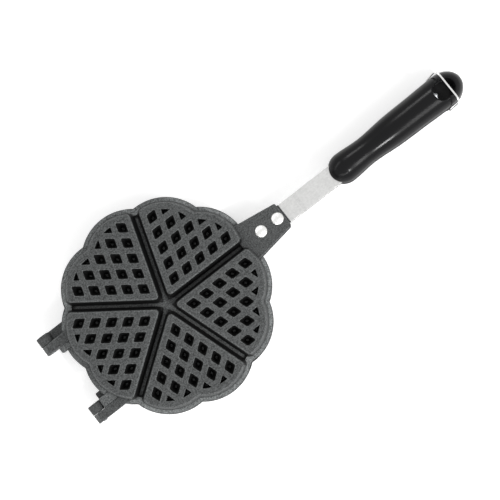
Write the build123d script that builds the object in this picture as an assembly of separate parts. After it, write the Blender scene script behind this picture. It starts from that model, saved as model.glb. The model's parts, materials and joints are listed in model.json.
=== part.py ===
from build123d import *
from math import atan2, cos, hypot, radians, sin, sqrt, tan
import os

# A stovetop heart waffle pan, closed and latched. Millimetres and degrees.
# While it is built, the pan centre is x = y = 0, x runs along the handle and z = 0 is the plane where the
# two halves meet. The last step moves everything so that the pan stands on z = 0 with its box centred.

# Cast half: disc and flange
heart_count = 5
lobe_circle_radius = 53.0
lobe_radius = 46.0
half_thickness = 17.0
flange_thickness = 5.0
groove_floor_wall = 2.5

# Cast half: the five raised heart fields, measured at their flat top
field_inset = 6.8
field_draft = 12.0
groove_half_width = 4.5
field_corner_radius = 3.0
field_cleft_radius = 5.0
rim_end_gap = 0.8

# Cast half: heart cavities inside
cavity_wall = 2.3
roof_wall = 2.5

# Cast half: lattice of pits outside, and of the pegs that they hollow out inside
lattice_offset = 15.2
lattice_pitch = 14.7
pit_side = 9.2
pit_depth = 10.7
pit_draft = 15.5
pit_floor_wall = 2.5
peg_wall = 1.9
edge_pit_border = 6.0
edge_pit_reach = 3.5
edge_pit_depth = 8.0
edge_floor_share = 0.5
edge_tip_share = 0.7

# Cast half: tab for the strap
tab_inner_x = 86.2
tab_outer_x = 134.2
tab_inner_half_width = 19.8
tab_outer_half_width = 12.7
tab_height = 8.0
tab_corner_radius = 1.5
tab_edge_radius = 0.8
tab_lip = 2.0
tab_lip_height = 2.2

# Hinge: knuckles on the far side of the disc, one inner and one outer on each half
hinge_x = -107.6
knuckle_radius = 6.5
inner_knuckle_y = 29.2
outer_knuckle_y = 39.1
outer_knuckle_end_y = 47.9
hinge_side_play = 0.7
knuckle_gap = 1.0
arm_plate_end_x = -100.9
arm_root_x = -80.0
arm_height = 5.6
web_end_x = -101.3
web_width = 6.3
hinge_pin_radius = 2.0
pin_running_fit = 0.05
knuckle_scoop_gap = 0.5

# Strap from the tab to the handle
strap_width = 19.8
strap_thickness = 2.0
strap_parting_gap = 0.6
strap_inner_x = 100.0
joggle_start_x = 152.5
joggle_end_x = 156.0
joggle_rise = 1.2
tang_width = 12.0
tang_shoulder_x = 204.0
tang_end_x = 246.0
lug_rise = 3.5
strap_bend_radius = 1.5
strap_pocket_play = 0.15

# Rivets
rivet_x = 108.6
rivet_spacing = 19.1
rivet_shank_radius = 2.5
rivet_head_radius = 5.8
rivet_head_height = 2.2
rivet_foot_radius = 3.8
rivet_foot_depth = 1.3
rivet_hole_play = 0.05

# Handle halves: a turned shape, split along its length
handle_start_x = 191.5
handle_front_length = 16.0
handle_front_radius = 14.65
handle_waist_x = 231.5
handle_waist_radius = 13.15
handle_swell_x = 258.0
handle_swell_radius = 14.85
handle_grip_x = 290.0
handle_grip_radius = 15.75
handle_dome_x = 326.0
handle_dome_radius = 16.6
handle_end_x = 346.3
handle_parting_gap = 1.0

# Nut pocket near the handle's end, with the tie rod and its cap nut
pocket_start_x = 312.0
pocket_length = 22.4
pocket_width = 18.0
pocket_floor = 2.6
nut_seat_depth = 1.2
nut_seat_radius = 4.6
tie_rod_height = 7.0
tie_rod_radius = 2.2
tie_rod_play = 0.1
tie_rod_reach = 5.0
washer_radius = 4.1
washer_thickness = 0.9
nut_flats_radius = 3.3
nut_length = 4.2
nut_dome_radius = 2.9

# Wire bail, hinged in the bottom handle half
bail_wire_radius = 0.9
bail_side_play = 0.25
bail_pivot_x = 322.6
bail_pivot_depth = 9.0
bail_top_x = 326.0
bail_top_play = 1.7
bail_corner_radius = 7.0
bail_foot_radius = 1.6
bail_stub_length = 5.0
bail_pivot_play = 0.06
pivot_boss_radius = 2.8
pivot_boss_root = 4.0
pivot_boss_gap = 0.2

# How far a cutting tool runs past the face that it cuts
overrun = 1.0


def spoke(length, angle):
    return Vector(length * cos(radians(angle)), length * sin(radians(angle)))


def copies_round(shape):
    """The same shape once for each heart."""
    return [Rot(0, 0, step * heart_angle) * shape for step in range(heart_count)]


def turned_over(shape):
    return Rot(180, 0, 0) * shape


def levels(section_at, heights):
    """A solid with straight walls through the sections at two heights."""
    return loft([Pos(0, 0, height) * section_at(height) for height in heights], ruled=True)


heart_angle = 360 / heart_count
bisector = heart_angle / 2
lobe_angles = (heart_angle / 4, heart_angle - heart_angle / 4)
field_radius = lobe_radius - field_inset
roof_height = half_thickness - roof_wall


# Outlines of the cast half

def silhouette():
    outline = Circle(lobe_circle_radius)
    for step in range(heart_count):
        for angle in lobe_angles:
            outline += Pos(spoke(lobe_circle_radius, angle + step * heart_angle)) * Circle(lobe_radius)
    return outline


def nearest_vertex(outline, point):
    return outline.vertices().sort_by_distance(point)[0]


def heart(grow):
    """One heart field between the spokes at 0 and 72 degrees, grown outwards from its size at the top."""
    side = groove_half_width - grow
    arc = field_radius + grow
    apex = spoke(side / sin(radians(bisector)), bisector)
    reach = lobe_circle_radius + lobe_radius
    along, across = spoke(reach, 0), spoke(reach, heart_angle)
    wedge = Polygon(apex, apex + along, apex + along + across, apex + across, align=None)
    lobes = Circle(lobe_circle_radius)
    for angle in lobe_angles:
        lobes += Pos(spoke(lobe_circle_radius, angle)) * Circle(arc)
    outline = wedge & lobes
    lobe = spoke(lobe_circle_radius, lobe_angles[0])
    end = Vector(lobe.X + sqrt(arc ** 2 - (lobe.Y - side) ** 2), side)
    cleft_y = lobe_circle_radius * sin(radians(lobe_angles[0]))
    cleft_x = lobe_circle_radius * cos(radians(lobe_angles[0]))
    cleft = spoke(cleft_x + sqrt(arc ** 2 - cleft_y ** 2), bisector)
    far_end = spoke(hypot(end.X, end.Y), heart_angle - end.get_angle(Vector(reach, 0)))
    for corner in (apex, end, far_end):
        outline = fillet(nearest_vertex(outline, corner), field_corner_radius + grow)
    return fillet(nearest_vertex(outline, cleft), field_cleft_radius - grow)


def field_outline(height):
    return heart((half_thickness - height) * tan(radians(field_draft)))


def cavity_outline(height):
    return heart((half_thickness - height) * tan(radians(field_draft)) - cavity_wall)


# Lattice of one heart: full pits in rows, and cut ones along the lobes

skew = sin(radians(heart_angle))
peg_tip_height = half_thickness - pit_depth - pit_floor_wall
peg_side_wall = peg_wall / cos(radians(pit_draft)) / skew
edge_cut_radius = field_radius - edge_pit_border


def lattice_point(row, column):
    return (spoke(lattice_offset + lattice_pitch * row, 0)
            + spoke(lattice_offset + lattice_pitch * column, heart_angle))


def rhombus(side):
    along, across = spoke(side / 2, 0), spoke(side / 2, heart_angle)
    return Polygon(along + across, across - along, -along - across, along - across, align=None)


def side_at(height):
    """Side of a full pit at a height."""
    return pit_side - 2 * (half_thickness - height) * tan(radians(pit_draft)) / skew


def full_pit():
    return levels(lambda height: rhombus(side_at(height)),
                  (half_thickness - pit_depth, half_thickness + overrun))


def full_peg():
    return levels(lambda height: rhombus(side_at(height) + 2 * peg_side_wall),
                  (peg_tip_height, roof_height + overrun))


def lobe_beside(row, column):
    return spoke(lobe_circle_radius, lobe_angles[0] if row > column else lobe_angles[1])


def cut_section(row, column, side, cut_radius):
    """A rhombus of the lattice, cut off along the lobe beside it."""
    lobe = Pos(lobe_beside(row, column)) * Circle(cut_radius)
    return (Pos(lattice_point(row, column)) * rhombus(side)) & lobe


def shrinking(section, share, top, bottom, start):
    """The section tapered about its own centre, to a share of its size between two heights."""
    centre = section.face().center()

    def at(height):
        factor = share + (1 - share) * (height - bottom) / (top - bottom)
        return Pos(centre * (1 - factor)) * scale(section, by=(factor, factor, 1))

    return levels(at, (bottom, start))


def edge_pit(row, column):
    section = cut_section(row, column, pit_side, edge_cut_radius)
    return shrinking(section, edge_floor_share, half_thickness, half_thickness - edge_pit_depth,
                     half_thickness + overrun)


def edge_peg(row, column):
    section = cut_section(row, column, pit_side + 2 * peg_side_wall, edge_cut_radius + peg_wall)
    return shrinking(section, edge_tip_share, half_thickness, peg_tip_height, roof_height + overrun)


def past_cut(row, column):
    """How far a point of the lattice lies outside the cut along the lobes, or below zero inside it."""
    point = lattice_point(row, column)
    if point.length < lobe_circle_radius:
        return -edge_cut_radius
    return (point - lobe_beside(row, column)).length - edge_cut_radius


def lattice(full, edge):
    """The full shape well inside the cut, and the cut shape near it."""
    pieces = []
    rows = range(int((lobe_circle_radius + lobe_radius) / lattice_pitch))
    for row in rows:
        for column in rows:
            past = past_cut(row, column)
            if past < -edge_pit_reach:
                pieces.append(Pos(lattice_point(row, column)) * full)
            elif past < edge_pit_reach:
                pieces.append(edge(row, column))
    return pieces


# Parts of the cast half

def disc():
    """Flange and base, with a strip of the flange left out along each groove."""
    rim = extrude(silhouette(), amount=flange_thickness)
    foot_half_width = groove_half_width - (half_thickness - flange_thickness) * tan(radians(field_draft))
    strip = Rectangle(tab_inner_x, 2 * (foot_half_width + rim_end_gap), align=(Align.MIN, Align.CENTER))
    strip = extrude(strip, amount=flange_thickness - groove_floor_wall)
    return rim - copies_round(Pos(0, 0, groove_floor_wall) * strip)


def box_between(low, high):
    size = high - low
    return Pos((low + high) / 2) * Box(size.X, size.Y, size.Z)


def tab():
    outline = Polygon((tab_inner_x, tab_inner_half_width), (tab_inner_x, -tab_inner_half_width),
                      (tab_outer_x, -tab_outer_half_width), (tab_outer_x, tab_outer_half_width), align=None)
    outline = fillet(outline.vertices().sort_by(Axis.X)[-2:], tab_corner_radius)
    body = extrude(outline, amount=tab_height)
    body = fillet(body.faces().sort_by(Axis.Z)[-1].edges().sort_by(Axis.X)[1:], tab_edge_radius)
    lip = box_between(Vector(tab_outer_x - tab_corner_radius, -strap_width / 2, strap_top),
                      Vector(tab_outer_x + tab_lip, strap_width / 2, strap_top + tab_lip_height))
    return body + lip


def knuckle(near_y, far_y, radius):
    """A bar round the hinge axis between two distances from the centre line."""
    length = far_y - near_y
    return Pos(hinge_x, (near_y + far_y) / 2, 0) * Rot(90, 0, 0) * Cylinder(radius, length)


def hinge_arms():
    """On the +y side an arm with the inner knuckle, on the -y side a plate with the outer one."""
    inner_end_y = outer_knuckle_y - knuckle_gap
    arm = box_between(Vector(hinge_x, inner_knuckle_y, 0), Vector(arm_root_x, inner_end_y, knuckle_radius))
    arm += knuckle(inner_knuckle_y, inner_end_y, knuckle_radius)
    web = box_between(Vector(web_end_x, inner_knuckle_y - web_width, 0),
                      Vector(arm_root_x, inner_knuckle_y, arm_height))
    plate = box_between(Vector(arm_plate_end_x, -outer_knuckle_end_y, 0),
                        Vector(arm_root_x, -inner_knuckle_y, arm_height))
    finger = box_between(Vector(hinge_x, -outer_knuckle_end_y, 0),
                         Vector(arm_root_x, -outer_knuckle_y, knuckle_radius))
    finger += knuckle(-outer_knuckle_end_y, -outer_knuckle_y, knuckle_radius)
    return arm + web + plate + finger


def hinge_cuts(pin_hole_radius):
    """Room for the other half's knuckles, and the pin holes on both sides."""
    scoop = knuckle_radius + knuckle_scoop_gap
    inner_end_y = outer_knuckle_y - knuckle_gap
    return [knuckle(inner_end_y, outer_knuckle_end_y + overrun, scoop),
            knuckle(-outer_knuckle_y, -inner_knuckle_y + knuckle_gap, scoop),
            knuckle(inner_knuckle_y - overrun, outer_knuckle_end_y + overrun, pin_hole_radius),
            knuckle(-outer_knuckle_end_y - overrun, -inner_knuckle_y + overrun, pin_hole_radius)]


strap_top = strap_parting_gap / 2 + strap_thickness
tang_top = strap_top + joggle_rise
lug_top = tie_rod_height + lug_rise


def cast_half(pin_hole_radius):
    """The top half: both halves are this casting, except for the fit of the hinge pins."""
    body = disc() + copies_round(levels(field_outline, (groove_floor_wall, half_thickness)))
    body += hinge_arms()
    body += tab()
    cavity = levels(cavity_outline, (-overrun, roof_height)) - lattice(full_peg(), edge_peg)
    body -= copies_round(cavity)
    pits = Compound(children=lattice(full_pit(), edge_pit))
    body -= copies_round(pits)
    body -= hinge_cuts(pin_hole_radius)
    body -= strap_bed(strap_top)
    body -= rivets(rivet_hole_play)
    return body


# Strap and rivets

def strap_side():
    """The strap from the side: the riveted flat, the joggle, the tang and the lug turned up at its end."""
    low, tang_low = strap_parting_gap / 2, strap_parting_gap / 2 + joggle_rise
    slope = atan2(joggle_rise, joggle_end_x - joggle_start_x)
    shift = strap_thickness * tan(slope / 2)
    under_start, under_end = (joggle_start_x, low), (joggle_end_x, tang_low)
    over_start, over_end = (joggle_start_x - shift, strap_top), (joggle_end_x - shift, tang_top)
    heel, throat = (tang_end_x, tang_low), (tang_end_x - strap_thickness, tang_top)
    lug_end = [(tang_end_x, lug_top), (tang_end_x - strap_thickness, lug_top)]
    profile = make_face(Polyline((strap_inner_x, low), under_start, under_end, heel, *lug_end, throat,
                                 over_end, over_start, (strap_inner_x, strap_top), close=True))
    for inner_bend in (over_start, under_end, throat):
        profile = fillet(nearest_vertex(profile, inner_bend), strap_bend_radius)
    for outer_bend in (under_start, over_end, heel):
        profile = fillet(nearest_vertex(profile, outer_bend), strap_bend_radius + strap_thickness)
    return profile


def strap_plan(play):
    """The strap seen from above, with its narrow tang; play makes it wider for the bed that it lies in."""
    side = [(strap_inner_x - play, strap_width / 2 + play), (tang_shoulder_x + play, strap_width / 2 + play),
            (tang_shoulder_x + play, tang_width / 2 + play), (tang_end_x + play, tang_width / 2 + play)]
    return Polygon(*[(x, -y) for x, y in side], *reversed(side), align=None)


def strap_bed(top):
    """Room for the strap up to a height, open towards the other half."""
    return extrude(strap_plan(strap_pocket_play), amount=top + strap_pocket_play)


def strap():
    blank = extrude(Plane.XZ * strap_side(), amount=strap_width / 2, both=True)
    bent = blank & extrude(strap_plan(0), amount=half_thickness, both=True)
    hole = tie_rod_bar(tie_rod_radius + rivet_hole_play, tie_rod_start_x - overrun, tang_end_x + overrun)
    return bent - rivets(rivet_hole_play) - hole


def rivet(x, play):
    """Domed head on the tab, shank through tab and strap, countersunk foot flush under the strap."""
    foot = strap_parting_gap / 2
    shank = rivet_shank_radius + play
    outline = [(0, foot), (rivet_foot_radius + play, foot), (shank, foot + rivet_foot_depth),
               (shank, tab_height), (rivet_head_radius, tab_height)]
    dome_radius = (rivet_head_radius ** 2 + rivet_head_height ** 2) / (2 * rivet_head_height)
    dome = RadiusArc((rivet_head_radius, tab_height), (0, tab_height + rivet_head_height), -dome_radius)
    face = make_face(Polyline(*outline) + dome + Line((0, tab_height + rivet_head_height), (0, foot)))
    return Pos(x, 0, 0) * revolve(Plane.XZ * face, Axis.Z)


def rivets(play):
    return [rivet(rivet_x, play), rivet(rivet_x + rivet_spacing, play)]


# Handle halves

def handle_profile():
    front = EllipticalCenterArc((handle_start_x + handle_front_length, 0), handle_front_length,
                                handle_front_radius, start_angle=90, arc_size=90)
    grip = Spline((handle_start_x + handle_front_length, handle_front_radius),
                  (handle_waist_x, handle_waist_radius), (handle_swell_x, handle_swell_radius),
                  (handle_grip_x, handle_grip_radius), (handle_dome_x, handle_dome_radius),
                  tangents=((1, 0), (1, 0)))
    end = EllipticalCenterArc((handle_dome_x, 0), handle_end_x - handle_dome_x, handle_dome_radius,
                              start_angle=0, arc_size=90)
    axis = Line((handle_end_x, 0), (handle_start_x, 0))
    return make_face(front + grip + end + axis)


def nut_pocket():
    centre = Pos(pocket_start_x + pocket_length / 2, 0, pocket_floor)
    pocket = centre * extrude(SlotOverall(pocket_length, pocket_width), amount=half_thickness)
    return pocket + tie_rod_bar(nut_seat_radius, nut_seat_x, nut_seat_x + pocket_width / 2)


def tie_rod_bar(radius, start_x, end_x):
    return Pos((start_x + end_x) / 2, 0, tie_rod_height) * Rot(0, 90, 0) * Cylinder(radius, end_x - start_x)


nut_seat_x = pocket_start_x - nut_seat_depth
tie_rod_start_x = tang_end_x - strap_thickness
tie_rod_end_x = nut_seat_x + tie_rod_reach


def lug_room():
    side_y = tang_width / 2 + strap_pocket_play
    return box_between(Vector(tang_end_x - strap_thickness - strap_bend_radius, -side_y, 0),
                       Vector(tang_end_x + strap_pocket_play, side_y, lug_top + strap_pocket_play))


def handle_half():
    half_round = revolve(handle_profile(), Axis.X, revolution_arc=180)
    keep = box_between(Vector(handle_start_x - overrun, -2 * handle_dome_radius, handle_parting_gap / 2),
                       Vector(handle_end_x + overrun, 2 * handle_dome_radius, 2 * handle_dome_radius))
    body = half_round & keep
    body -= nut_pocket()
    body -= strap_bed(tang_top) + lug_room()
    return body - tie_rod_bar(tie_rod_radius + tie_rod_play, tang_end_x, nut_seat_x + overrun)


bail_half_span = handle_dome_radius + hinge_side_play + bail_side_play + bail_wire_radius


def pivot_bar(radius, near_y, far_y):
    """A bar on the bail's axis, between two distances from the centre line."""
    bar = Rot(90, 0, 0) * Cylinder(radius, far_y - near_y)
    return Pos(bail_pivot_x, (near_y + far_y) / 2, -bail_pivot_depth) * bar


def bottom_handle_half():
    """The handle half turned over, with the bosses that hold the bail."""
    body = turned_over(handle_half())
    handle_side_y = sqrt(handle_dome_radius ** 2 - bail_pivot_depth ** 2)
    boss_root_y = handle_side_y - pivot_boss_root
    boss_face_y = bail_half_span - bail_foot_radius - pivot_boss_gap
    hole_end_y = bail_half_span - bail_stub_length - pivot_boss_gap
    hole_radius = bail_wire_radius + bail_pivot_play
    body += [pivot_bar(pivot_boss_radius, boss_root_y, boss_face_y),
             pivot_bar(pivot_boss_radius, -boss_face_y, -boss_root_y)]
    return body - [pivot_bar(hole_radius, hole_end_y, bail_half_span),
                   pivot_bar(hole_radius, -bail_half_span, -hole_end_y)]


def tie_rod():
    return tie_rod_bar(tie_rod_radius, tie_rod_start_x, tie_rod_end_x)


def cap_nut():
    """Washer, hexagon and dome in one, closed over the end of the tie rod."""
    washer = Circle(washer_radius)
    body = extrude(washer, amount=washer_thickness)
    hexagon = Pos(0, 0, washer_thickness) * RegularPolygon(nut_flats_radius, 6, major_radius=False)
    body += extrude(hexagon, amount=nut_length - washer_thickness)
    body += Pos(0, 0, nut_length) * Sphere(nut_dome_radius)
    hole = Cylinder(tie_rod_radius + rivet_hole_play, 2 * (tie_rod_reach + rivet_hole_play))
    return Pos(nut_seat_x, 0, tie_rod_height) * Rot(0, 90, 0) * (body - hole)


# Bail and hinge pins

def bail():
    """One wire: two stubs in the bottom handle half, two legs, and the bar across the top handle half."""
    top_height = handle_dome_radius + bail_top_play + bail_wire_radius
    inner_y = bail_half_span - bail_stub_length
    foot = [Vector(bail_pivot_x, side * bail_half_span, -bail_pivot_depth) for side in (-1, 1)]
    stub = [Vector(bail_pivot_x, side * inner_y, -bail_pivot_depth) for side in (-1, 1)]
    top = [Vector(bail_top_x, side * bail_half_span, top_height) for side in (-1, 1)]
    corners = (bail_foot_radius, bail_corner_radius, bail_corner_radius, bail_foot_radius)
    path = FilletPolyline(stub[0], foot[0], top[0], top[1], foot[1], stub[1], radius=corners)
    start = Plane(origin=stub[0], z_dir=foot[0] - stub[0])
    return sweep(start * Circle(bail_wire_radius), path=path)


def hinge_pin(side):
    near, far = sorted((side * inner_knuckle_y, side * outer_knuckle_end_y))
    return knuckle(near, far, hinge_pin_radius)


top_cast = cast_half(hinge_pin_radius + pin_running_fit)
bottom_cast = turned_over(cast_half(hinge_pin_radius))

lower_parts = {
    "bottom_plate": [bottom_cast],
    "bottom_strap": [turned_over(strap())],
    "bottom_rivets": [turned_over(piece) for piece in rivets(0)],
    "bottom_handle": [bottom_handle_half()],
    "bottom_tie_rod": [turned_over(tie_rod())],
    "bottom_cap_nut": [turned_over(cap_nut())],
    "hinge_pin_left": [hinge_pin(1)],
    "hinge_pin_right": [hinge_pin(-1)],
    "latch_bail": [bail()],
}
upper_parts = {
    "top_plate": [top_cast],
    "top_strap": [strap()],
    "top_rivets": rivets(0),
    "top_handle": [handle_half()],
    "top_tie_rod": [tie_rod()],
    "top_cap_nut": [cap_nut()],
}

# The pan stands on its lower heart fields, with its box centred. When it is closed, its halves sit apart
# sideways by the play of the hinge.
middle_x = (hinge_x - knuckle_radius + handle_end_x) / 2
lower_place = Pos(-middle_x, -hinge_side_play / 2, half_thickness)
upper_place = Pos(-middle_x, hinge_side_play / 2, half_thickness)

os.makedirs("parts", exist_ok=True)
for place, parts in ((lower_place, lower_parts), (upper_place, upper_parts)):
    for name, pieces in parts.items():
        solids = [solid for piece in pieces for solid in (place * piece).solids()]
        shape = solids[0] if len(solids) == 1 else Compound(children=solids)
        export_step(shape, f"parts/{name}.step")
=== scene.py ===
# Heart waffle pan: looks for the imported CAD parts. Metres, in the frame of the CAD.
import json
import math
import bmesh
import bpy
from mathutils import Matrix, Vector


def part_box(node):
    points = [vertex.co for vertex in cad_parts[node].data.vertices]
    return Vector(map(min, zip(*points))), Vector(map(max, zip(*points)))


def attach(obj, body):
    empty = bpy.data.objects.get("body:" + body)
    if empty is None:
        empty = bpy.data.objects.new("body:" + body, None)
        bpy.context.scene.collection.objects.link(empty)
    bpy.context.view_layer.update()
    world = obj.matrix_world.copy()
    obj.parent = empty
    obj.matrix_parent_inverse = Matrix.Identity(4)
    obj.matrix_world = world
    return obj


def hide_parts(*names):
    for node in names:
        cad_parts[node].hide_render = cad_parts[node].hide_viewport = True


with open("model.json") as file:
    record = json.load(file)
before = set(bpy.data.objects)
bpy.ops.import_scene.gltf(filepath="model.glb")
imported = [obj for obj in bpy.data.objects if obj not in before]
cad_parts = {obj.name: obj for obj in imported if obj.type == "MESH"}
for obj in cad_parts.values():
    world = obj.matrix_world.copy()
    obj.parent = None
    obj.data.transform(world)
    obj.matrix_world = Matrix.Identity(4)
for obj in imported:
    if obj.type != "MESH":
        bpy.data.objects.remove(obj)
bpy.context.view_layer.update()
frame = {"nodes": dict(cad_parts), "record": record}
nodes = frame["nodes"]
record = frame["record"]
mm = 0.001
print("stage: frame loaded,", len(nodes), "nodes")

# Places that the pieces share, from the frame
partingZ = (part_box("bottom_plate")[0][2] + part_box("top_plate")[1][2]) / 2  # where the two halves meet
panLayout = {
    "handleEnd": 346.3,  # from the pan's centre to the handle's end
    "lobeCircle": 53.0,
    "fieldHeight": 17.0,
    "fieldReach": 39.2,  # from a lobe's centre to its field's top edge
    "grooveHalf": 4.5,
    "hearts": 5,
    "sidePlay": 0.35,  # the closed halves sit this far to either side of the middle
}
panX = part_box("top_handle")[1][0] - panLayout["handleEnd"] * mm
bodyOf = {node: body for body, members in record["behaviour"]["bodies"].items() for node in members}
slotOf = {part["node"]: part["material_slot"] for part in record["subparts"]}


def hexColour(text):
    parts = [int(text[i:i + 2], 16) / 255 for i in (1, 3, 5)]
    return [p / 12.92 if p <= 0.04045 else ((p + 0.055) / 1.055) ** 2.4 for p in parts] + [1.0]


def addNode(tree, kind, settings=None, links=None):
    node = tree.nodes.new(kind)
    for name, value in (settings or {}).items():
        if isinstance(name, int) or name in node.inputs:
            node.inputs[name].default_value = value
        else:
            setattr(node, name, value)
    for name, source in (links or {}).items():
        tree.links.new(source, node.inputs[name])
    return node


def newMaterial(name):
    material = bpy.data.materials.new(name)
    material.use_nodes = True
    tree = material.node_tree
    tree.nodes.clear()
    shader = addNode(tree, "ShaderNodeBsdfPrincipled")
    addNode(tree, "ShaderNodeOutputMaterial", links={"Surface": shader.outputs["BSDF"]})
    place = addNode(tree, "ShaderNodeTexCoord")
    return material, tree, shader, place


def seenDirectly(tree):
    # 1 for what the camera sees, straight, mirrored or through glass, and 0 for light that falls on things
    rays = addNode(tree, "ShaderNodeLightPath")
    seen = rays.outputs["Is Camera Ray"]
    for kind in ("Is Glossy Ray", "Is Transmission Ray"):
        seen = addNode(tree, "ShaderNodeMath", {"operation": "MAXIMUM"}, {0: seen, 1: rays.outputs[kind]})
        seen = seen.outputs["Value"]
    return seen


# Non-stick coat on cast aluminium: sprayed and baked, so matt, with a fine speckled grain.
# Painted shade darkens the pits and grooves, and painted light lightens the roundings, the pit floors and
# the flange.
coatLook = {
    "grey": "#232424",
    "speckle": "#5c5e5e",
    "grainSize": 1.2,  # mm, a little coarser than the real grit so that it shows
    "grainDetail": 3.0,
    "grainRoughness": 0.7,
    "grainRange": (0.34, 0.66),  # the closer these are, the stronger the speckle
    "darkFrom": 0.6,  # the coat counts as dark where its painted light and shade is this or less
    "darkSpeckle": 0.6,  # share of the speckle that is left there
    "gritSize": 0.35,
    "gritDetail": 2.0,
    "gritDepth": 0.05,
    "gritStrength": 0.6,
    "creaseReach": 2.5,  # painted shade: how far a corner darkens the coat's colour beside it
    "creaseRange": (0.5, 0.85),
    "creaseShade": 0.2,
    "creaseSamples": 8,
    "roughness": (0.52, 0.7),
    "sheen": 0.25,
}


def coatMaterial():
    look = coatLook
    material, tree, shader, place = newMaterial("bakedNonStickCoat")
    grain = addNode(tree, "ShaderNodeTexNoise",
                    {"Scale": 1 / (look["grainSize"] * mm), "Detail": look["grainDetail"],
                     "Roughness": look["grainRoughness"]},
                    {"Vector": place.outputs["Object"]})
    grit = addNode(tree, "ShaderNodeTexNoise",
                   {"Scale": 1 / (look["gritSize"] * mm), "Detail": look["gritDetail"]},
                   {"Vector": place.outputs["Object"]})
    paintedLightShade = addNode(tree, "ShaderNodeAttribute", {"attribute_name": "paintedLightShade"})  # painted light and shade of each face, 1 on the level tops
    contrast = addNode(tree, "ShaderNodeMapRange",
                       {"From Min": look["darkFrom"], "From Max": 1.0,
                        "To Min": look["darkSpeckle"], "To Max": 1.0},
                       {"Value": paintedLightShade.outputs["Fac"]})
    lowGrain, highGrain = look["grainRange"]
    speckle = addNode(tree, "ShaderNodeMapRange",  # to either side of nought, so that its mean stays
                      {"From Min": lowGrain, "From Max": highGrain, "To Min": -0.5, "To Max": 0.5},
                      {"Value": grain.outputs["Fac"]})
    mixShare = addNode(tree, "ShaderNodeMath", {"operation": "MULTIPLY_ADD", 2: 0.5},
                       {0: speckle.outputs["Result"], 1: contrast.outputs["Result"]})
    flat = addNode(tree, "ShaderNodeMix", {"data_type": "RGBA"}, {"Factor": mixShare.outputs["Value"]})
    flat.inputs[6].default_value = hexColour(look["grey"])  # a Mix node's colours are its sockets 6 and 7
    flat.inputs[7].default_value = hexColour(look["speckle"])
    # Painted shade: ambient occlusion darkens the coat's colour in corners and creases
    corner = addNode(tree, "ShaderNodeAmbientOcclusion",
                     {"samples": look["creaseSamples"], "only_local": True,
                      "Distance": look["creaseReach"] * mm})
    tight, free = look["creaseRange"]
    paintedCreaseShade = addNode(tree, "ShaderNodeMapRange",
                     {"From Min": tight, "From Max": free, "To Min": look["creaseShade"], "To Max": 1.0},
                     {"Value": corner.outputs["AO"]})
    # the colour is scaled by the painted light and shade of each face and by the painted crease shade
    share = addNode(tree, "ShaderNodeMath", {"operation": "MULTIPLY"},
                    {0: paintedLightShade.outputs["Fac"], 1: paintedCreaseShade.outputs["Result"]})
    colour = addNode(tree, "ShaderNodeVectorMath", {"operation": "SCALE"},
                     {"Vector": flat.outputs[2], "Scale": share.outputs["Value"]})
    smooth, rough = look["roughness"]
    roughness = addNode(tree, "ShaderNodeMapRange", {"To Min": smooth, "To Max": rough},
                        {"Value": grain.outputs["Fac"]})
    bump = addNode(tree, "ShaderNodeBump",
                   {"Strength": look["gritStrength"], "Distance": look["gritDepth"] * mm},
                   {"Height": grit.outputs["Fac"]})
    tree.links.new(colour.outputs["Vector"], shader.inputs["Base Color"])
    tree.links.new(roughness.outputs["Result"], shader.inputs["Roughness"])
    tree.links.new(bump.outputs["Normal"], shader.inputs["Normal"])
    shader.inputs["Specular IOR Level"].default_value = look["sheen"]
    return material


# Phenolic, moulded in a polished steel tool: deep black and glossy, with a slight ripple
phenolicLook = {
    "black": "#141415",
    "rippleSize": 6.0,
    "rippleDetail": 1.0,
    "rippleDepth": 0.012,
    "rippleStrength": 0.5,
    "hazeSize": 25.0,
    "hazeDetail": 4.0,
    "roughness": (0.16, 0.28),
    "sheen": 0.12,
}


def phenolicMaterial():
    look = phenolicLook
    material, tree, shader, place = newMaterial("mouldedPhenolic")
    ripple = addNode(tree, "ShaderNodeTexNoise",
                     {"Scale": 1 / (look["rippleSize"] * mm), "Detail": look["rippleDetail"]},
                     {"Vector": place.outputs["Object"]})
    haze = addNode(tree, "ShaderNodeTexNoise",
                   {"Scale": 1 / (look["hazeSize"] * mm), "Detail": look["hazeDetail"]},
                   {"Vector": place.outputs["Object"]})
    bump = addNode(tree, "ShaderNodeBump",
                   {"Strength": look["rippleStrength"], "Distance": look["rippleDepth"] * mm},
                   {"Height": ripple.outputs["Fac"]})
    smooth, rough = look["roughness"]
    roughness = addNode(tree, "ShaderNodeMapRange", {"To Min": smooth, "To Max": rough},
                        {"Value": haze.outputs["Fac"]})
    shader.inputs["Base Color"].default_value = hexColour(look["black"])
    tree.links.new(roughness.outputs["Result"], shader.inputs["Roughness"])
    tree.links.new(bump.outputs["Normal"], shader.inputs["Normal"])
    shader.inputs["Specular IOR Level"].default_value = look["sheen"]
    return material


# Metals, each from its colours, its roughness, and its grain's size along x, y and z in mm
metalLooks = {
    "strap_steel": {  # rolled and tumbled, so satin with a fine mottle
        "name": "tumbledStainlessSteel", "colour": "#d8d8d7", "dark": "#b6b6b5",
        "roughness": (0.34, 0.5), "grain": (2.2, 1.4, 1.4), "depth": 0.02},
    "rivet_aluminium": {  # set cold, bright and slightly dimpled
        "name": "headedAluminium", "colour": "#f1f1ef", "dark": "#e2e2e0",
        "roughness": (0.22, 0.38), "grain": (1.5, 1.5, 1.5), "depth": 0.01},
    "fastener_steel": {  # plated, with a soft haze
        "name": "zincPlatedSteel", "colour": "#a8aaac", "dark": "#8c8e90",
        "roughness": (0.22, 0.38), "grain": (2.0, 2.0, 2.0), "depth": 0.01},
    "wire_steel": {  # drawn through a die, so smooth and bright
        "name": "drawnSteelWire", "colour": "#efefee", "dark": "#dcdcdb",
        "roughness": (0.1, 0.26), "grain": (0.4, 6.0, 0.4), "depth": 0.005},
}
metalDetail = 4.0
metalRelief = 0.4


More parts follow.
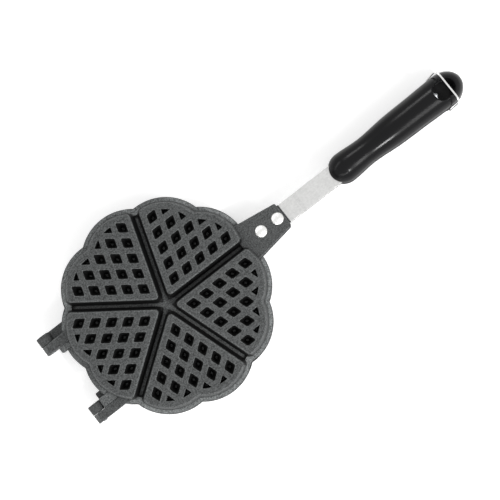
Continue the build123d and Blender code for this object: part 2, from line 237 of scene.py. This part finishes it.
def metalMaterial(look):
    material, tree, shader, place = newMaterial(look["name"])
    stretch = addNode(tree, "ShaderNodeMapping", {"Scale": [1 / (size * mm) for size in look["grain"]]},
                      {"Vector": place.outputs["Object"]})
    grain = addNode(tree, "ShaderNodeTexNoise", {"Scale": 1.0, "Detail": metalDetail},
                    {"Vector": stretch.outputs["Vector"]})
    colour = addNode(tree, "ShaderNodeMix", {"data_type": "RGBA"}, {"Factor": grain.outputs["Fac"]})
    colour.inputs[6].default_value = hexColour(look["dark"])
    colour.inputs[7].default_value = hexColour(look["colour"])
    smooth, rough = look["roughness"]
    roughness = addNode(tree, "ShaderNodeMapRange", {"To Min": smooth, "To Max": rough},
                        {"Value": grain.outputs["Fac"]})
    bump = addNode(tree, "ShaderNodeBump", {"Strength": metalRelief, "Distance": look["depth"] * mm},
                   {"Height": grain.outputs["Fac"]})
    shader.inputs["Metallic"].default_value = 1.0
    tree.links.new(colour.outputs[2], shader.inputs["Base Color"])
    tree.links.new(roughness.outputs["Result"], shader.inputs["Roughness"])
    tree.links.new(bump.outputs["Normal"], shader.inputs["Normal"])
    return material


materials = {slot: metalMaterial(look) for slot, look in metalLooks.items()}
materials["non_stick_casting"] = coatMaterial()
materials["phenolic"] = phenolicMaterial()
print("stage: materials,", ", ".join(material.name for material in materials.values()))


# Working on a piece
pieceWork = {
    "mergeReach": 0.005,  # mm
    "flatAngle": 0.3,  # degrees; faces this level with each other become one
    "sharpFrom": 28.0,  # degrees between the faces of an edge that gets rounded
    "smoothTo": 35.0,
}


def selectOnly(piece):
    bpy.ops.object.select_all(action="DESELECT")
    piece.select_set(True)
    bpy.context.view_layer.objects.active = piece


def applyModifier(piece, kind, settings):
    modifier = piece.modifiers.new(kind.lower(), kind)
    for name, value in settings.items():
        setattr(modifier, name, value)
    selectOnly(piece)
    bpy.ops.object.modifier_apply(modifier=modifier.name)


def inEditMode(piece, work):
    selectOnly(piece)
    bpy.ops.object.mode_set(mode="EDIT")
    bpy.ops.mesh.select_all(action="SELECT")
    work()
    bpy.ops.object.mode_set(mode="OBJECT")


def mergedCopy(nodeName, pieceName):
    # a CAD node is loose triangles: its copy is merged, and flat faces become one
    node = nodes[nodeName]
    piece = node.copy()
    piece.data = node.data.copy()
    piece.parent = None
    piece.name = pieceName
    for key in [key for key in piece.keys() if key.startswith("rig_")]:
        del piece[key]
    bpy.context.collection.objects.link(piece)

    def merge():
        bpy.ops.mesh.remove_doubles(threshold=pieceWork["mergeReach"] * mm)
        bpy.ops.mesh.dissolve_limited(angle_limit=math.radians(pieceWork["flatAngle"]))

    inEditMode(piece, merge)
    return piece


def roundEdges(piece, widthAt, steps):
    # widthAt gives a sharp edge its width in millimetres, or 0 to leave it
    mesh = bmesh.new()
    mesh.from_mesh(piece.data)
    layers = mesh.edges.layers.float
    weights = layers.get("bevel_weight_edge") or layers.new("bevel_weight_edge")
    sharp = [edge for edge in mesh.edges if len(edge.link_faces) == 2
             and edge.calc_face_angle(0) > math.radians(pieceWork["sharpFrom"])]
    widths = [widthAt(edge) for edge in sharp]
    widest = max(widths)
    for edge, width in zip(sharp, widths):
        edge[weights] = width / widest
    mesh.to_mesh(piece.data)
    mesh.free()
    applyModifier(piece, "BEVEL", {"limit_method": "WEIGHT", "width": widest * mm, "segments": steps,
                                   "use_clamp_overlap": False, "loop_slide": False,
                                   "miter_outer": "MITER_SHARP"})


def finish(piece, nodeName, smoothTo=pieceWork["smoothTo"]):
    selectOnly(piece)
    bpy.ops.object.shade_smooth_by_angle(angle=math.radians(smoothTo))
    applyModifier(piece, "WEIGHTED_NORMAL", {"keep_sharp": True})
    piece.data.materials.clear()
    piece.data.materials.append(materials[slotOf[nodeName]])
    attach(piece, bodyOf[nodeName])
    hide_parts(nodeName)


# Cast halves: the sharp edges of the CAD get the roundings of a casting, by where they lie.
# Heights are in mm from the plane where the halves meet, outward.
castLook = {
    "fieldEdge": 1.1,
    "pitRim": 0.5,
    "pitCorner": 1.8,
    "edgePitCorner": 0.9,
    "pitFloor": 0.5,
    "flangeEdge": 0.8,
    "partingEdge": 0.3,
    "pegTip": 0.7,
    "pegCorner": 0.9,
    "hingePlanCorner": 1.5,
    "hingeEdge": 0.6,
    "tabEdge": 0.2,
    "steps": 3,
}
castPlaces = {
    "pitRegion": 37.0,  # from a lobe's centre; the pits lie within it
    "grooveRegion": 8.0,  # from a groove's middle; the pits lie outside it
    "rimReach": 46.2,  # from a lobe's centre to just outside the flange's rim
    "hubReach": 6.0,
    "flangeHeight": 5.0,
    "deepPit": 8.0,  # a pit's corner that starts below this belongs to a whole pit
    "pegTipHeight": 3.8,
    "roofHeight": 14.5,
    "hingeFrom": -2.22,  # edges of the hinge that reach lower than this stay sharp
    "tabFrom": 2.7,
    "uprightFrom": 1.5,  # an edge this tall stands up
    "pegUprightFrom": 2.0,
    "near": 0.06,
}


def onDisc(point, side):
    # how far a point lies from the nearest groove's middle, from its lobe's centre and from the pan's centre
    x, y = (point.x - panX) / mm, point.y / mm - side * panLayout["sidePlay"]
    step = 360 / panLayout["hearts"]  # each of a heart's lobes lies a quarter of this from a groove
    angle = math.degrees(math.atan2(y, x)) % step
    radius = math.hypot(x, y)
    fromGroove = radius * math.sin(math.radians(min(angle, step - angle)))
    lobe = math.radians(angle - (step / 4 if angle < step / 2 else 3 * step / 4))
    toLobe = math.hypot(radius * math.cos(lobe) - panLayout["lobeCircle"], radius * math.sin(lobe))
    return fromGroove, toLobe, radius


def offDisc(toLobe, radius):
    return toLobe > castPlaces["rimReach"] and radius > panLayout["lobeCircle"]


def castWidth(edge, side):
    look, places = castLook, castPlaces
    near, fieldHeight = places["near"], panLayout["fieldHeight"]
    ends = [vertex.co for vertex in edge.verts]
    low, high = sorted(side * (end.z - partingZ) / mm for end in ends)
    middle = (ends[0] + ends[1]) / 2
    fromGroove, toLobe, radius = onDisc(middle, side)
    level = high - low < near
    if offDisc(toLobe, radius) and middle.x < panX:  # hinge
        if high - low > places["uprightFrom"] and edge.is_convex:
            return look["hingePlanCorner"]
        return look["hingeEdge"] if edge.is_convex and low > places["hingeFrom"] else 0
    if offDisc(toLobe, radius):
        return look["tabEdge"] if edge.is_convex and low > places["tabFrom"] else 0
    inField = fromGroove > places["grooveRegion"]
    inField = inField and (toLobe < places["pitRegion"] or radius < panLayout["lobeCircle"])
    if low > fieldHeight - near:
        return look["pitRim"] if inField else look["fieldEdge"]
    if high > fieldHeight - near:
        return look["pitCorner" if low < places["deepPit"] else "edgePitCorner"] if inField else 0
    if abs(high - places["pegTipHeight"]) < near:
        return look["pegTip"]
    if abs(high - places["roofHeight"]) < near:
        return look["pegCorner"] if high - low > places["pegUprightFrom"] and edge.is_convex else 0
    if inField and not edge.is_convex and level and low > places["flangeHeight"]:
        return look["pitFloor"]
    if edge.is_convex and level and abs(high - places["flangeHeight"]) < near:
        return look["flangeEdge"]
    if edge.is_convex and abs(high) < near and abs(low) < near:
        return look["partingEdge"]
    return 0


# Painted light and shade on each face: painted shade in the pits and grooves, painted highlights on the
# roundings, painted light on the pit floors and flange
paintedLightShares = {
    "top": 1.0,
    # painted highlights on the roundings and the tab's roundings, painted light on the flange
    "rounding": 1.5,
    "flange": 1.6,
    "tab": 0.95,
    "tabRounding": 1.5,
    "fieldSide": 1.0,
    # painted shade in the grooves and on the pit sides
    "grooveSide": 0.05,
    "grooveFloor": 0.1,
    "pitSide": 0.04,
    # painted light on the pit floors
    "pitFloor": 2.8,
    "inside": 0.9,
}
paintedLightPlaces = {
    "atTop": 0.03,  # mm under the field's height
    "levelFrom": 0.95,  # how far a face's normal points outward
    "floorFrom": 0.8,
    "pitFloorFrom": 0.85,
    "tabRounding": (0.3, 0.97),
    "insideFrom": -0.05,
    "grooveMargin": 1.2,
    "fieldMargin": 1.2,
    "rimShare": 0.7,
}


def facePaintedLight(middle, normal, side):
    look, places = paintedLightShares, paintedLightPlaces
    fieldHeight = panLayout["fieldHeight"]
    high = side * (middle.z - partingZ) / mm
    up = side * normal.z
    fromGroove, toLobe, radius = onDisc(middle, side)
    if up < places["insideFrom"]:
        return look["inside"]
    if high > fieldHeight - places["atTop"] and up > places["levelFrom"]:
        return look["top"]
    if offDisc(toLobe, radius):
        # painted highlight on the tab's roundings
        steepest, flattest = places["tabRounding"]
        return look["tabRounding" if steepest < up < flattest else "tab"]
    inGroove = fromGroove < panLayout["grooveHalf"] + places["grooveMargin"]
    inGroove = inGroove and radius > castPlaces["hubReach"]
    inField = toLobe < panLayout["fieldReach"] - places["fieldMargin"] or radius < panLayout["lobeCircle"]
    if inField and not inGroove and high > castPlaces["flangeHeight"]:
        # painted highlight on the field's rim roundings, painted light on the pit floors, painted shade on
        # the pit sides
        if high > fieldHeight - castLook["pitRim"] * places["rimShare"]:
            return look["rounding"]
        atFloor = up > places["pitFloorFrom"] and high < castPlaces["roofHeight"]
        return look["pitFloor" if atFloor else "pitSide"]
    # painted shade on the groove sides and floors
    if inGroove and high < fieldHeight - castLook["fieldEdge"]:
        return look["grooveFloor"] if up > places["floorFrom"] else look["grooveSide"]
    # painted highlight on the roundings at the field's edge
    if high > fieldHeight - castLook["fieldEdge"]:
        return look["rounding"]
    return look["flange"] if up > places["floorFrom"] else look["fieldSide"]


def storePaintedLight(piece, side):
    # each face's painted light and shade, which scales the coat's colour
    layer = piece.data.attributes.new("paintedLightShade", "FLOAT", "FACE")
    shares = [facePaintedLight(face.center, face.normal, side) for face in piece.data.polygons]
    layer.data.foreach_set("value", shares)


for nodeName, side, pieceName in (("top_plate", 1, "topCasting"), ("bottom_plate", -1, "bottomCasting")):
    casting = mergedCopy(nodeName, pieceName)
    roundEdges(casting, lambda edge: castWidth(edge, side), castLook["steps"])
    storePaintedLight(casting, side)
    finish(casting, nodeName)
    print("stage:", pieceName, len(casting.data.polygons), "faces")

# Strap, rivets, rods, nuts, pins and bail: the CAD's shapes with their edges broken
smallPieces = {
    "strap": {"nodes": {"top_strap": "strapTop", "bottom_strap": "strapBottom"}, "edge": 0.25},
    "rivets": {"nodes": {"top_rivets": "rivetsTop", "bottom_rivets": "rivetsBottom"}, "edge": 0.2,
               "smoothTo": 60.0},
    "tieRod": {"nodes": {"top_tie_rod": "tieRodTop", "bottom_tie_rod": "tieRodBottom"}, "edge": 0.3},
    "capNut": {"nodes": {"top_cap_nut": "capNutTop", "bottom_cap_nut": "capNutBottom"}, "edge": 0.15},
    "hingePin": {"nodes": {"hinge_pin_left": "hingePinLeft", "hinge_pin_right": "hingePinRight"},
                 "edge": 0.3},
    "bailWire": {"nodes": {"latch_bail": "bailWireLatch"}, "edge": 0.15},
}
smallSteps = 2

for kind, look in smallPieces.items():
    for nodeName, pieceName in look["nodes"].items():
        piece = mergedCopy(nodeName, pieceName)
        roundEdges(piece, lambda edge: look["edge"], smallSteps)
        finish(piece, nodeName, look.get("smoothTo", pieceWork["smoothTo"]))
    print("stage:", kind)

# Handle halves: a line turned round the handle's axis, split, then cut for strap, rod and nut.
# Places are in millimetres from the pan's centre, heights from the plane where the halves meet.
handleLook = {
    "line": (  # along the handle, radius and slope; radius 0 closes an end with a quarter ellipse
        (191.5, 0.0, 0.0),
        (207.5, 14.65, 0.0),
        (231.5, 13.15, -0.021),
        (258.0, 14.85, 0.073),
        (290.0, 15.75, 0.02),
        (326.0, 16.6, 0.0),
        (346.3, 0.0, 0.0),
    ),
    "stepsAlong": 20,
    "stepsRound": 128,
    "splitGap": 0.5,
    "partingEdge": 0.5,
    "mouthEdge": 0.3,
    "pocketStart": 312.0,
    "pocketLength": 22.4,
    "pocketWidth": 18.0,
    "pocketFloor": 2.6,
    "pocketSides": 72,
    "lip": 1.8,  # how far the pocket's soft lip reaches out
    "lipSteps": 6,
    "lipTurn": 72.0,
    "underLip": 4.0,  # the cutter's lowest ring, in lips under the surface
    "aboveLip": ((1.0, 0.12), (1.5, 0.5), (1.5, 4.0)),  # reach and height of its upper rings, in lips
    "dropFrom": 40.0,  # height from which the rings drop onto the handle
    "bed": (  # start, end, half width and top of each block that is cut away for the strap
        (188.0, 204.15, 10.05, 3.65),
        (204.0, 246.15, 6.15, 3.65),
        (242.5, 246.15, 6.15, 10.65),
    ),
    "underBed": 2.0,
    "rodHeight": 7.0,
    "rodHole": (246.0, 311.0, 2.3),  # start, end and radius
    "nutSeat": (310.8, 320.0, 4.6),
    "bossRadius": 2.8,
    "bossReach": (9.95, 16.65),
    "bailHole": (322.6, 9.0, 0.96),  # place along the handle, height and radius
    "bailHoleReach": (13.25, 18.0),
    "barSides": 48,
    "edgeSteps": 3,
    "mouthEnd": 196.0,
    "bedEnd": 246.5,
    "bedHalf": 10.2,
    "near": 0.02,
    "mergeReach": 0.01,
}
roundArc = 0.5523  # a Bezier handle of this share of the radius draws a quarter circle


def panPoint(x, y, z):
    return Vector((panX + x * mm, y * mm, partingZ + z * mm))


def turnedBody():
    look = handleLook
    bpy.ops.object.select_all(action="DESELECT")
    bpy.ops.curve.primitive_bezier_curve_add(location=(0, 0, 0))
    line = bpy.context.active_object
    line.data.resolution_u = look["stepsAlong"]
    points = line.data.splines[0].bezier_points
    points.add(len(look["line"]) - len(points))
    for point, (x, radius, slope) in zip(points, look["line"]):
        point.handle_left_type = point.handle_right_type = "FREE"
        point.co = point.handle_left = point.handle_right = panPoint(x, radius, 0)
    for index in range(len(look["line"]) - 1):
        (x, radius, slope), (nextX, nextRadius, nextSlope) = look["line"][index:index + 2]
        length = nextX - x
        if radius == 0:
            points[index].handle_right = panPoint(x, nextRadius * roundArc, 0)
            points[index + 1].handle_left = panPoint(nextX - length * roundArc, nextRadius, 0)
        elif nextRadius == 0:
            points[index].handle_right = panPoint(x + length * roundArc, radius, 0)
            points[index + 1].handle_left = panPoint(nextX, radius * roundArc, 0)
        else:
            points[index].handle_right = panPoint(x + length / 3, radius + slope * length / 3, 0)
            nextSide = nextRadius - nextSlope * length / 3
            points[index + 1].handle_left = panPoint(nextX - length / 3, nextSide, 0)
    selectOnly(line)
    bpy.ops.object.convert(target="MESH")
    body = bpy.context.active_object

    def turn():
        bpy.ops.mesh.spin(steps=look["stepsRound"], angle=math.radians(360), center=panPoint(0, 0, 0),
                          axis=(1, 0, 0))
        bpy.ops.mesh.select_all(action="SELECT")
        bpy.ops.mesh.remove_doubles(threshold=look["mergeReach"] * mm)
        bpy.ops.mesh.normals_make_consistent(inside=False)

    inEditMode(body, turn)
    return body


def pickVertices(piece, wanted):
    mesh = bmesh.from_edit_mesh(piece.data)
    bpy.ops.mesh.select_all(action="DESELECT")
    for vertex in mesh.verts:
        vertex.select = wanted(vertex)
    mesh.select_flush_mode()
    bmesh.update_edit_mesh(piece.data)


def slotRing(body, reach, depth):
    # one loop of the pocket's cutter, this far outside the slot and this deep under the handle's surface
    look = handleLook
    half = (look["pocketLength"] - look["pocketWidth"]) / 2
    middle = panPoint(look["pocketStart"] + look["pocketLength"] / 2, 0, look["dropFrom"])
    bpy.ops.object.select_all(action="DESELECT")
    bpy.ops.mesh.primitive_circle_add(vertices=look["pocketSides"], location=middle,
                                      radius=(look["pocketWidth"] / 2 + reach) * mm)
    ring = bpy.context.active_object
    for direction in (1, -1):
        def drawOut():
            pickVertices(ring, lambda vertex: vertex.co.x * direction > look["near"] * mm)
            bpy.ops.transform.translate(value=(direction * half * mm, 0, 0))

        inEditMode(ring, drawOut)
    applyModifier(ring, "SHRINKWRAP", {"target": body, "wrap_method": "PROJECT", "use_project_z": True,
                                       "use_negative_direction": True, "use_positive_direction": False})
    selectOnly(ring)
    bpy.ops.transform.translate(value=(0, 0, -depth * mm))
    bpy.ops.object.transform_apply(location=True, rotation=True, scale=True)
    return ring


def pocketCutter(body):
    look = handleLook
    lip = look["lip"]
    rings = [slotRing(body, 0, lip * look["underLip"]), slotRing(body, 0, lip)]
    for step in range(1, look["lipSteps"] + 1):
        turn = math.radians(look["lipTurn"] * step / look["lipSteps"])
        rings.append(slotRing(body, lip * (1 - math.cos(turn)), lip * (1 - math.sin(turn))))
    rings += [slotRing(body, lip * reach, -lip * height) for reach, height in look["aboveLip"]]
    count = look["pocketSides"]
    bpy.ops.object.select_all(action="DESELECT")
    for ring in rings:
        ring.select_set(True)
    bpy.context.view_layer.objects.active = rings[0]
    bpy.ops.object.join()
    cutter = bpy.context.active_object

    def pickRings(first, last):
        pickVertices(cutter, lambda vertex: first * count <= vertex.index < (last + 1) * count)

    def close():
        for index in range(len(rings) - 1):
            pickRings(index, index + 1)
            bpy.ops.mesh.bridge_edge_loops()
        pickRings(0, 0)
        bpy.ops.transform.resize(value=(1, 1, 0), center_override=panPoint(0, 0, look["pocketFloor"]))
        bpy.ops.mesh.edge_face_add()
        pickRings(len(rings) - 1, len(rings) - 1)
        bpy.ops.mesh.edge_face_add()
        bpy.ops.mesh.select_all(action="SELECT")
        bpy.ops.mesh.normals_make_consistent(inside=False)

    inEditMode(cutter, close)
    return cutter


def barAt(middle, length, radius, turn):
    bpy.ops.object.select_all(action="DESELECT")
    bpy.ops.mesh.primitive_cylinder_add(vertices=handleLook["barSides"], radius=radius * mm,
                                        depth=length * mm, location=middle,
                                        rotation=[math.radians(a) for a in turn])
    bpy.ops.object.transform_apply(location=True, rotation=True, scale=True)
    return bpy.context.active_object


def barAlong(start, end, radius):
    return barAt(panPoint((start + end) / 2, 0, handleLook["rodHeight"]), end - start, radius, (0, 90, 0))


def barAcross(reach, radius, side):
    x, height = handleLook["bailHole"][:2]
    middle = panPoint(x, side * sum(reach) / 2, height)
    return barAt(middle, reach[1] - reach[0], radius, (90, 0, 0))


def blockAt(start, end, halfWidth, top):
    under = handleLook["underBed"]
    bpy.ops.object.select_all(action="DESELECT")
    bpy.ops.mesh.primitive_cube_add(size=1, location=panPoint((start + end) / 2, 0, (top - under) / 2),
                                    scale=((end - start) * mm, 2 * halfWidth * mm, (top + under) * mm))
    bpy.ops.object.transform_apply(location=True, rotation=True, scale=True)
    return bpy.context.active_object


def combine(piece, tool, operation):
    applyModifier(piece, "BOOLEAN", {"operation": operation, "solver": "EXACT", "object": tool})
    bpy.data.objects.remove(tool, do_unlink=True)


def handleWidth(edge):
    look = handleLook
    ends = [vertex.co for vertex in edge.verts]
    atSplit, atFloor = (all(abs(end.z - panPoint(0, 0, height).z) < look["near"] * mm for end in ends)
                        for height in (look["splitGap"], look["pocketFloor"]))
    middle = (ends[0] + ends[1]) / 2
    if atSplit and edge.is_convex:
        inBed = abs(middle.y) < look["bedHalf"] * mm and middle.x < panX + look["bedEnd"] * mm
        return look["mouthEdge"] if inBed else look["partingEdge"]
    if atFloor:
        return look["partingEdge"]
    atMouth = max(end.x for end in ends) < panX + look["mouthEnd"] * mm
    return look["mouthEdge"] if atMouth and edge.is_convex else 0


halfBody = turnedBody()
slotTool = pocketCutter(halfBody)


def splitHalf():
    bpy.ops.mesh.bisect(plane_co=panPoint(0, 0, handleLook["splitGap"]), plane_no=(0, 0, 1), use_fill=True,
                        clear_inner=True)


inEditMode(halfBody, splitHalf)
combine(halfBody, slotTool, "DIFFERENCE")
for block in handleLook["bed"]:
    combine(halfBody, blockAt(*block), "DIFFERENCE")
for hole in ("rodHole", "nutSeat"):
    combine(halfBody, barAlong(*handleLook[hole]), "DIFFERENCE")
print("stage: handle half,", len(halfBody.data.polygons), "faces")

for nodeName, side, pieceName in (("top_handle", 1, "topHandle"), ("bottom_handle", -1, "bottomHandle")):
    piece = halfBody.copy()
    piece.data = halfBody.data.copy()
    piece.name = pieceName
    bpy.context.collection.objects.link(piece)
    if side < 0:  # the lower half carries the bail
        for direction in (1, -1):
            boss = barAcross(handleLook["bossReach"], handleLook["bossRadius"], direction)
            combine(piece, boss, "UNION")
            hole = barAcross(handleLook["bailHoleReach"], handleLook["bailHole"][2], direction)
            combine(piece, hole, "DIFFERENCE")
    roundEdges(piece, handleWidth, handleLook["edgeSteps"])
    selectOnly(piece)
    if side < 0:
        bpy.ops.transform.rotate(value=math.radians(180), orient_axis="X", center_override=panPoint(0, 0, 0))
    bpy.ops.transform.translate(value=(0, side * panLayout["sidePlay"] * mm, 0))
    bpy.ops.object.transform_apply(location=True, rotation=True, scale=True)
    finish(piece, nodeName)
    print("stage:", pieceName, len(piece.data.polygons), "faces")
bpy.data.objects.remove(halfBody, do_unlink=True)

# Camera, at the place the photograph was taken from
photoView = {
    "place": (39.0, -47.75, 800.0),  # from the pan's centre, at the height of its upper face
    "turn": (4.493, -1.067, -38.02),
    "lens": 63.96,
    "sensor": 36.0,
    "nearest": 10.0,
}

bpy.ops.object.select_all(action="DESELECT")
fieldTop = Vector((panX, 0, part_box("top_plate")[1][2]))
bpy.ops.object.camera_add(location=fieldTop + Vector(photoView["place"]) * mm,
                          rotation=[math.radians(a) for a in photoView["turn"]])
camera = bpy.context.active_object
camera.name = "photoCamera"
camera.data.lens = photoView["lens"]
camera.data.sensor_width = photoView["sensor"]
camera.data.clip_start = photoView["nearest"] * mm
bpy.context.scene.camera = camera
print("stage: camera")

# Studio: white paper floor, soft white surroundings and five lamps, metres from the pan's middle.
# The two strips give the highlights on the handle's front, the spot and the windows those along it.
studio = {
    "surroundings": 0.52,
    "paper": "#f4f4f4",
    "paperSize": 6,
    "paperGlow": 0.42,
    "lamps": {
        "stripLeft": {"place": (-1.0, 0.95, 0.8), "size": (2.0, 0.08), "watts": 5.0},
        "stripRight": {"place": (-1.0, -0.95, 0.8), "size": (2.0, 0.08), "watts": 8.0},
        "spotRight": {"place": (0.22, -0.76, 0.8), "size": (0.07, 0.13), "watts": 5.5},
        "windowRight": {"place": (0.545, -0.72, 0.8), "size": (0.11, 0.45), "watts": 3.0},
        "windowLeft": {"place": (0.53, 0.83, 0.8), "size": (0.12, 0.25), "watts": 1.6},
    },
}

world = bpy.data.worlds.new("softStudio")
bpy.context.scene.world = world
world.use_nodes = True
tree = world.node_tree
tree.nodes.clear()
strength = addNode(tree, "ShaderNodeMapRange", {"To Min": studio["surroundings"], "To Max": 1.0},
                   {"Value": seenDirectly(tree)})
light = addNode(tree, "ShaderNodeBackground", {"Color": hexColour("#ffffff")},
                {"Strength": strength.outputs["Result"]})
addNode(tree, "ShaderNodeOutputWorld", links={"Surface": light.outputs["Background"]})
bpy.context.scene.view_settings.view_transform = "Standard"

bpy.ops.object.select_all(action="DESELECT")
bpy.ops.mesh.primitive_plane_add(size=studio["paperSize"], location=(0, 0, 0))
floor = bpy.context.active_object
floor.name = "floor"
paper = bpy.data.materials.new("whitePaper")
paper.use_nodes = True
tree = paper.node_tree
tree.nodes.clear()
sheet = addNode(tree, "ShaderNodeBsdfDiffuse", {"Color": hexColour(studio["paper"])})
glowStrength = addNode(tree, "ShaderNodeMapRange", {"To Min": 0.0, "To Max": studio["paperGlow"]},
                       {"Value": seenDirectly(tree)})
glow = addNode(tree, "ShaderNodeEmission", links={"Strength": glowStrength.outputs["Result"]})
both = addNode(tree, "ShaderNodeAddShader", links={0: sheet.outputs["BSDF"], 1: glow.outputs["Emission"]})
addNode(tree, "ShaderNodeOutputMaterial", links={"Surface": both.outputs["Shader"]})
floor.data.materials.append(paper)

for lampName, look in studio["lamps"].items():
    side, height = look["place"][1:]
    bpy.ops.object.light_add(type="AREA", location=look["place"])
    lamp = bpy.context.active_object
    lamp.name = lampName
    lamp.data.shape = "RECTANGLE"
    lamp.data.size, lamp.data.size_y = look["size"]
    lamp.data.energy = look["watts"]
    lamp.rotation_euler = (math.atan2(-side, height), 0, 0)  # turned to the handle's line
print("stage: studio")
